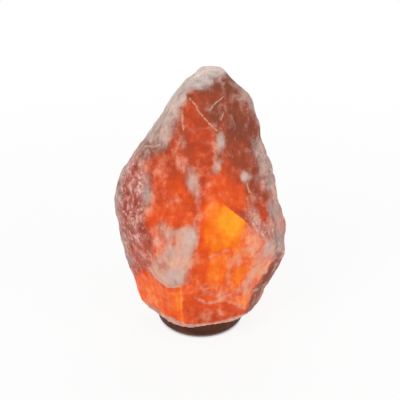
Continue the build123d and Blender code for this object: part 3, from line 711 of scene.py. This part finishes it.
saltLook = {
    # colours from unlit to brightly lit; the flakes' run from their shaded to their pale sides
    "lit": [(0.0, 96, 52, 40), (0.25, 138, 68, 46), (0.38, 162, 68, 38), (0.52, 188, 66, 28),
            (0.66, 226, 78, 20), (0.80, 246, 100, 18), (0.92, 255, 132, 22), (1.0, 255, 160, 30)],
    "frost": [(0.0, 212, 199, 190), (0.22, 218, 192, 182), (0.44, 226, 175, 154),
              (0.7, 242, 179, 144), (1.0, 250, 192, 140)],
    "flakes": [(0.0, 100, 38, 36), (0.28, 154, 72, 62), (0.5, 188, 98, 86),
               (0.72, 220, 152, 144), (1.0, 246, 222, 222)],
    # colours of the cracks, and of the painted highlight along the top's rim
    "cracksAndRimHighlight": [(0.0, 236, 228, 220), (0.3, 228, 182, 156), (1.0, 255, 196, 136)],
    "haze": screen(236, 146, 104),
    "rind": screen(218, 200, 190),
    "glints": screen(252, 232, 230),
    # width in metres, detail and roughness of each kind of blotch
    "blotches": dict(broad=(0.028, 3, 0.55), clouds=(0.012, 4, 0.62), lumps=(0.0052, 3, 0.6),
                     crumbs=(0.0021, 2, 0.6), streaks=(0.0072, 2.5, 0.55),
                     slants=(0.0060, 2.5, 0.55)),
    # how the long ones are stretched and turned
    "along": dict(streaks=((1.0, 1.0, 0.28), (0.30, 0.15, 0.0)),
                  slants=((1.0, 1.0, 0.32), (0.0, 0.75, 0.3))),
    "flakesAlong": ((1.0, 1.0, 0.8), (0.2, -0.25, 0.0)),
    # how much of each kind of blotch goes into each quality of the rock
    "light": dict(clouds=0.26, streaks=0.16, slants=0.10, lumps=0.10),
    "hazy": dict(clouds=1.0, streaks=0.25, slants=0.35, broad=0.7),
    "rosy": dict(clouds=0.8, streaks=0.5, broad=0.4),
    "flaky": dict(lumps=0.9, broad=0.5, clouds=0.4, streaks=0.3, crumbs=0.5),
    "frosty": dict(clouds=0.75, streaks=0.65, slants=0.45, lumps=0.5, crumbs=0.15),
    "chalky": dict(clouds=0.4, lumps=0.45, streaks=0.25, broad=0.5, crumbs=0.12),
    "crested": dict(lumps=0.6, clouds=0.6),
    "cracked": dict(crumbs=2.4, lumps=1.6, streaks=1.2),
    "shaded": dict(crumbs=0.18, lumps=0.14, streaks=0.16),
    "rough": dict(clouds=0.6, lumps=0.6, crumbs=0.3, streaks=0.5),
    # the values between which some of them set in
    "between": dict(hazy=(-0.04, 0.34), rosy=(0.16, 0.95), frosty=(0.14, 1.04),
                    crested=(0.54, 1.0), cracked=(1.2, 0.2), glints=(0.90, 0.98)),
    "hazeLight": (0.2, 0.55),       # the light over which haze sets in,
    "rindLight": (0.30, 0.60),      # the rind of pale crests ends
    "ownLight": (0.15, 0.80),       # and the rock shines by itself
    "flakeWidth": 0.0040,
    "glintWidth": 0.0020,
    "flakeBend": (0.004, 0.0026),   # their edges wander over the first by the second
    "reliefDepth": 0.0024,
    "sheen": 0.13,
}


def saltFinish():
    s = Finish("saltLit")
    fieldNames = ("glow", "frost", "rose", "crack", "worn")
    glow, frost, rose, crack, worn = [s.attribute(name) for name in fieldNames]
    blotches = {}
    for kind, look in saltLook["blotches"].items():
        along = saltLook["along"].get(kind)
        blotches[kind] = s.noise(*look, s.stretched(*along) if along else None) - 0.5

    def mottled(wire, quality):
        for kind, share in saltLook[quality].items():
            wire += blotches[kind] * share
        return wire

    def masked(wire, quality):
        return wire.above(*saltLook["between"][quality])

    # unlit brown to lit orange, with a pale haze in the lit rock
    light = mottled(glow, "light")
    colour = s.ramp(light, saltLook["lit"])
    haze = masked(mottled(0, "hazy"), "hazy") * glow.above(*saltLook["hazeLight"])
    colour = s.mix(haze * (0.10 + frost * 1.5), colour, saltLook["haze"])
    # granular rose, in flakes of their own tone
    flakePlace = s.bent(*saltLook["flakeBend"], s.stretched(*saltLook["flakesAlong"]))
    flake = s.cellTone(saltLook["flakeWidth"], flakePlace, "Red") - 0.5
    granular = masked(mottled(rose, "rosy"), "rosy")
    flakeTone = mottled(0.47 + flake * 0.46, "flaky")
    colour = s.mix(granular * (0.66 + flake * 0.3), colour, s.ramp(flakeTone, saltLook["flakes"]))
    # frost on worn and crushed rock, warmer where light comes through it
    frosted = masked(frost + mottled(0, "frosty") * (1 - frost * 0.45), "frosty")
    chalk = mottled(light * 0.75, "chalky")
    colour = s.mix(frosted, colour, s.ramp(chalk, saltLook["frost"]))
    # pale crests, cracks, a painted highlight along the top's rim, and painted glints
    rind = masked(mottled(worn, "crested"), "crested")
    rind *= 1 - glow.above(*saltLook["rindLight"]) * 0.90
    colour = s.mix(rind * 0.40, colour, saltLook["rind"])
    cracked = masked(mottled(crack * salt["crackReach"], "cracked"), "cracked")
    colour = s.mix(cracked * 0.62, colour, s.ramp(light, saltLook["cracksAndRimHighlight"]))
    # painted glints: tiny sparkles of reflected light painted into the colour of the rose flakes
    glints = masked(s.cellTone(saltLook["glintWidth"], flakePlace, "Green"), "glints")
    colour = s.mix(glints * granular * 0.4, colour, saltLook["glints"])
    # painted shade: the colour is darker in hollows and lighter on crests, with blotches in it
    colour = s.scaled(colour, mottled(1 + (worn - 0.5) * 0.22, "shaded"))
    # the share of the colour that comes from the light inside
    own = light.above(*saltLook["ownLight"]) * 0.70 * (1 - frosted * 0.25) * (1 - granular * 0.35)
    own += 0.03
    return s.show(
        Base_Color=s.scaled(colour, 1 - own),
        Emission_Color=s.scaled(colour, own),
        Emission_Strength=1.0,
        Roughness=0.40 + frosted * 0.25,
        Specular_IOR_Level=saltLook["sheen"],
        IOR=1.54,
        Normal=s.bump(mottled(flake * granular * 0.35, "rough"), saltLook["reliefDepth"], 0.9),
    )


saltMesh.materials.clear()
saltMesh.materials.append(saltFinish())
print("salt finished")

# the turned wooden base

wood = {
    "tones": [(0.25, 38, 16, 5), (0.5, 70, 31, 11), (0.8, 112, 54, 20)],
    "pore": screen(38, 16, 5),
    # width in metres, detail and roughness of each kind of line
    "grain": (0.00352, 4, 0.62),
    "bands": (0.0112, 2, 0.5),
    "pores": (0.00056, 2, 0.6),
    "chisel": (0.0012, 2, 0.5),     # the lathe's marks
    "poresFrom": (0.60, 0.70),      # the noise over which a pore opens
    "along": (0.045, 1.0, 0.6),     # how the lines are stretched
    "bend": (0.045, 0.012),         # they wander over the first by the second
    "poresAlong": (0.06, 1.0, 1.0),
    "roughness": 0.46,
    "polish": 0.06,
    "sheen": 0.2,
    "reliefDepth": 0.0004,
}


def woodFinish():
    s = Finish("oiledWood")
    along = s.stretched(wood["along"], place=s.bent(*wood["bend"]))
    grain = s.noise(*wood["grain"], along)
    bands = s.noise(*wood["bands"], along)
    pores = s.noise(*wood["pores"], s.stretched(wood["poresAlong"])).above(*wood["poresFrom"])
    colour = s.ramp(grain * 0.75 + bands * 0.6 - 0.18, wood["tones"])
    colour = s.mix(pores * 0.6, colour, wood["pore"])
    flat = s.node("ShaderNodeVectorMath", {"operation": "MULTIPLY"}, [s.place, (1, 1, 0)])
    radius = s.node("ShaderNodeVectorMath", {"operation": "LENGTH"}, [flat], "Value")
    height = s.node("ShaderNodeSeparateXYZ", {}, [s.place], 2)
    rings = s.node("ShaderNodeCombineXYZ", {}, [radius, height, 0.0])
    turned = s.noise(*wood["chisel"], rings)
    return s.show(
        Base_Color=colour,
        Roughness=wood["roughness"] + (grain - 0.5) * 0.25 + pores * 0.2,
        Specular_IOR_Level=wood["sheen"],
        Coat_Weight=wood["polish"] * (1 - pores),
        Coat_Roughness=0.3,
        Normal=s.bump(grain * 0.3 + turned * 0.5 - pores * 0.6, wood["reliefDepth"], 0.6),
    )


# the smaller pieces' finishes; grain is the width of the surface's relief, depth its height

metals = {
    "zinc_steel": dict(colour=screen(186, 186, 178), rough=0.34, grain=0.0016, depth=4e-5),
    "spring_steel": dict(colour=screen(168, 172, 178), rough=0.26, grain=0.0009, depth=2e-5),
    "brass": dict(colour=screen(212, 172, 96), rough=0.28, grain=0.0012, depth=3e-5),
    "solder": dict(colour=screen(184, 186, 188), rough=0.38, grain=0.0010, depth=1e-4),
    "nickel_cap": dict(colour=screen(206, 200, 186), rough=0.24, grain=0.0014, depth=3e-5),
    "wire": dict(colour=screen(168, 166, 162), rough=0.35, grain=0.0005, depth=1e-5),
}
mouldings = {
    "black_rubber": dict(colour=screen(36, 35, 34), rough=0.78, grain=0.0007, depth=8e-5),
    "grey_plastic": dict(colour=screen(150, 152, 154), rough=0.50, grain=0.0010, depth=4e-5),
    "black_plastic": dict(colour=screen(30, 29, 30), rough=0.38, grain=0.0012, depth=5e-5),
    "white_ceramic": dict(colour=screen(228, 222, 208), rough=0.34, grain=0.0016, depth=6e-5),
    "black_glass": dict(colour=screen(20, 18, 24), rough=0.12, grain=0.0020, depth=4e-5),
    "cement": dict(colour=screen(206, 196, 174), rough=0.85, grain=0.0006, depth=1e-4),
}
bulb = {
    "clean": screen(236, 240, 240),
    "dusty": screen(222, 222, 218),
    "dust": (0.006, 4, 0.65),       # width in metres, detail and roughness of its blotches
    "dustFrom": (0.5, 0.8),         # the noise over which dust sets in,
    "dustRoughFrom": (0.55, 0.8),   # and that over which it makes the glass rougher
    "roughness": (0.02, 0.06),      # of the clean glass, and what the dust adds
    "filament": screen(90, 84, 80),
    "coils": (0.0006, 2, 0.5),
    "glow": (screen(255, 176, 84), screen(255, 214, 140)),  # between the coils and on them
    "glowStrength": 6.0,
}


def metalFinish(name, colour, rough, grain, depth):
    s = Finish(name)
    stains = s.noise(grain * 6, 3, 0.6)
    brushed = s.noise(grain, 3, 0.6, s.stretched((1.0, 1.0, 0.12)))
    return s.show(
        Base_Color=s.scaled(colour, 0.72 + stains * 0.4),
        Metallic=1.0,
        Roughness=rough + (brushed - 0.5) * 0.3 + (stains - 0.5) * 0.2,
        Normal=s.bump(brushed + stains * 0.5, depth, 0.7),
    )


def mouldedFinish(name, colour, rough, grain, depth):
    s = Finish(name)
    cloud = s.noise(grain * 9, 3, 0.6)
    pits = s.noise(grain, 3, 0.6)
    return s.show(
        Base_Color=s.scaled(colour, 0.82 + cloud * 0.36),
        Roughness=rough + (pits - 0.5) * 0.16 + (cloud - 0.5) * 0.16,
        Normal=s.bump(pits + cloud * 0.3, depth, 0.7),
    )


def glassFinish():
    s = Finish("bulbGlass")
    dust = s.noise(*bulb["dust"])
    smooth, dustAdds = bulb["roughness"]
    return s.show(
        Base_Color=s.mix(dust.above(*bulb["dustFrom"]), bulb["clean"], bulb["dusty"]),
        Roughness=dust.above(*bulb["dustRoughFrom"]) * dustAdds + smooth,
        Transmission_Weight=1.0,
        IOR=1.47,
    )


def filamentFinish():
    s = Finish("glowingTungsten")
    return s.show(
        Base_Color=bulb["filament"],
        Roughness=0.5,
        Emission_Color=s.mix(s.noise(*bulb["coils"]), *bulb["glow"]),
        Emission_Strength=bulb["glowStrength"],
    )


finishes = {"dark_wood": woodFinish(), "clear_glass": glassFinish(), "tungsten": filamentFinish()}
for slotName, look in metals.items():
    finishes[slotName] = metalFinish(slotName, **look)
for slotName, look in mouldings.items():
    finishes[slotName] = mouldedFinish(slotName, **look)
slotOf = {part["node"]: part["material_slot"] for part in frame["record"]["subparts"]}
for nodeName, slotName in slotOf.items():
    if slotName in finishes:
        for slot in nodes[nodeName].material_slots:
            slot.material = finishes[slotName]
print("fitting and base finished")

# screw threads, which the solids leave smooth

threads = {
    # skin is the band of radii that winds in and out, run the stretch of heights above the
    # node's lowest point; a depth over 0 is cut in from the skin, one under 0 stands out of it
    "socket_shell": dict(piece="threadedShell", body="fitting", axes=[(0, 0)],
        skin=(0.0070, 0.0077), depth=-0.0005, pitch=0.002822, run=(0.0020, 0.0195), rings=84),
    "bulb_cap": dict(piece="threadedCap", body="bulb", axes=[(0, 0)],
        skin=(0.0060, 0.0071), depth=0.0007, pitch=0.002822, run=(0.0028, 0.0140), rings=60),
    "cord_nipple": dict(piece="threadedNipple", body="fitting", axes=[(0, 0)],
        skin=(0.0047, 0.0051), depth=0.00035, pitch=0.0010, run=(0.0005, 0.0089), rings=90),
    "base_screws": dict(piece="threadedScrews", body="lamp", axes=[(0.038, 0), (-0.038, 0)],
        skin=(0.0017, 0.0021), depth=0.0005, pitch=0.0018, run=(0.0160, 0.0400), rings=110),
}


def threadedCopy(node, look):
    # the node's own mesh, merged, cut into rings and pressed into a helical wave
    mesh = bpy.data.meshes.new_from_object(nodes[node])
    shape = bmesh.new()
    shape.from_mesh(mesh)
    bmesh.ops.remove_doubles(shape, verts=shape.verts, dist=1e-6)
    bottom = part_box(node)[0].z
    start, end = [bottom + height for height in look["run"]]
    for ring in range(look["rings"] + 1):
        level = start + (end - start) * ring / look["rings"]
        everything = shape.verts[:] + shape.edges[:] + shape.faces[:]
        bmesh.ops.bisect_plane(shape, geom=everything, plane_co=(0, 0, level), plane_no=(0, 0, 1))
    low, high = look["skin"]
    for vertex in shape.verts:
        axis = min(look["axes"], key=lambda a: math.hypot(vertex.co.x - a[0], vertex.co.y - a[1]))
        x, y = vertex.co.x - axis[0], vertex.co.y - axis[1]
        radius = math.hypot(x, y)
        height = vertex.co.z
        if low < radius < high and start < height < end:
            wave = 0.5 + 0.5 * math.cos(2 * math.pi * height / look["pitch"] - math.atan2(y, x))
            fade = min(height - start, end - height, look["pitch"]) / look["pitch"]
            share = look["depth"] * wave * fade / radius
            vertex.co.x -= x * share
            vertex.co.y -= y * share
    shape.to_mesh(mesh)
    shape.free()
    return mesh


for nodeName, look in threads.items():
    threadMesh = threadedCopy(nodeName, look)
    threadMesh.shade_smooth()
    threadMesh.set_sharp_from_angle(angle=math.radians(40))
    threadMesh.materials.clear()
    threadMesh.materials.append(finishes[slotOf[nodeName]])
    threaded = placed(look["piece"], threadMesh)
    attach(threaded, look["body"])
    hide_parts(nodeName)
print("threads cut")

# floor, backdrop and light

stage = {
    "floorHalf": 4.0,
    "floorColour": screen(244, 244, 243),
    "white": screen(255, 255, 255),
    "floorWhite": 0.88,     # how much of the floor's look is plain white to the camera
    "floorFade": (0.3, 1.1),    # metres from the lamp over which the floor turns all white
    "underBase": (0.044, 0.050),    # nearer the axis than this the floor is in the base's shade
    "skyStrength": 0.52,
    "lamps": [
        # where from, towards the lamp's middle, how wide, how strong
        ((-1.1, -1.4, 1.8), 1.0, 23.0),
        ((1.5, -1.0, 1.2), 1.2, 7.5),
        ((0.2, 1.6, 1.5), 1.2, 9.0),
    ],
}


def floorFinish():
    s = Finish("floorPlain")
    matt = s.node("ShaderNodeBsdfDiffuse", {}, {"Color": stage["floorColour"]})
    white = s.node("ShaderNodeEmission", {}, {"Color": stage["white"], "Strength": 1.0})
    away = s.node("ShaderNodeVectorMath", {"operation": "LENGTH"}, [s.place], "Value")
    plain = away.above(*stage["floorFade"]) * (1 - stage["floorWhite"]) + stage["floorWhite"]
    outside = away.above(*stage["underBase"])
    seen = s.anyRay("Camera", "Glossy", "Transmission")
    floor = s.node("ShaderNodeMixShader", {}, [seen * plain * outside, matt, white])
    clear = s.node("ShaderNodeBsdfTransparent")
    below = s.node("ShaderNodeNewGeometry", output="Backfacing")
    # the base's underside is lit from below, so that it shows when seen from there
    bounced = s.anyRay("Glossy", "Diffuse", "Shadow")
    through = below.orElse(bounced * (1 - outside))
    shown = s.node("ShaderNodeMixShader", {}, [through, floor, clear])
    s.node("ShaderNodeOutputMaterial", {}, {"Surface": shown})
    return s.owner


def skyFinish():
    s = Finish("studio", "worlds")
    seen = s.anyRay("Camera", "Glossy", "Transmission")
    skies = [s.node("ShaderNodeBackground", {}, {"Color": stage["white"], "Strength": strength})
             for strength in (stage["skyStrength"], 1.0)]
    both = s.node("ShaderNodeMixShader", {}, [seen, *skies])
    s.node("ShaderNodeOutputWorld", {}, {"Surface": both})
    return s.owner


def makeStage():
    shape = bmesh.new()
    bmesh.ops.create_grid(shape, x_segments=1, y_segments=1, size=stage["floorHalf"])
    mesh = bpy.data.meshes.new("floor")
    shape.to_mesh(mesh)
    shape.free()
    mesh.materials.append(floorFinish())
    floor = placed("floor", mesh)
    middle = (cadLow + cadHigh) / 2
    for place, width, strength in stage["lamps"]:
        data = bpy.data.lights.new("softLamp", "AREA")
        data.size = width
        data.energy = strength
        lamp = placed("softLamp", data)
        lamp.location = place
        lamp.rotation_euler = (middle - Vector(place)).to_track_quat("-Z", "Y").to_euler()
    bpy.context.scene.world = skyFinish()


makeStage()
bpy.context.scene.view_settings.view_transform = "Standard"
print("stage set")
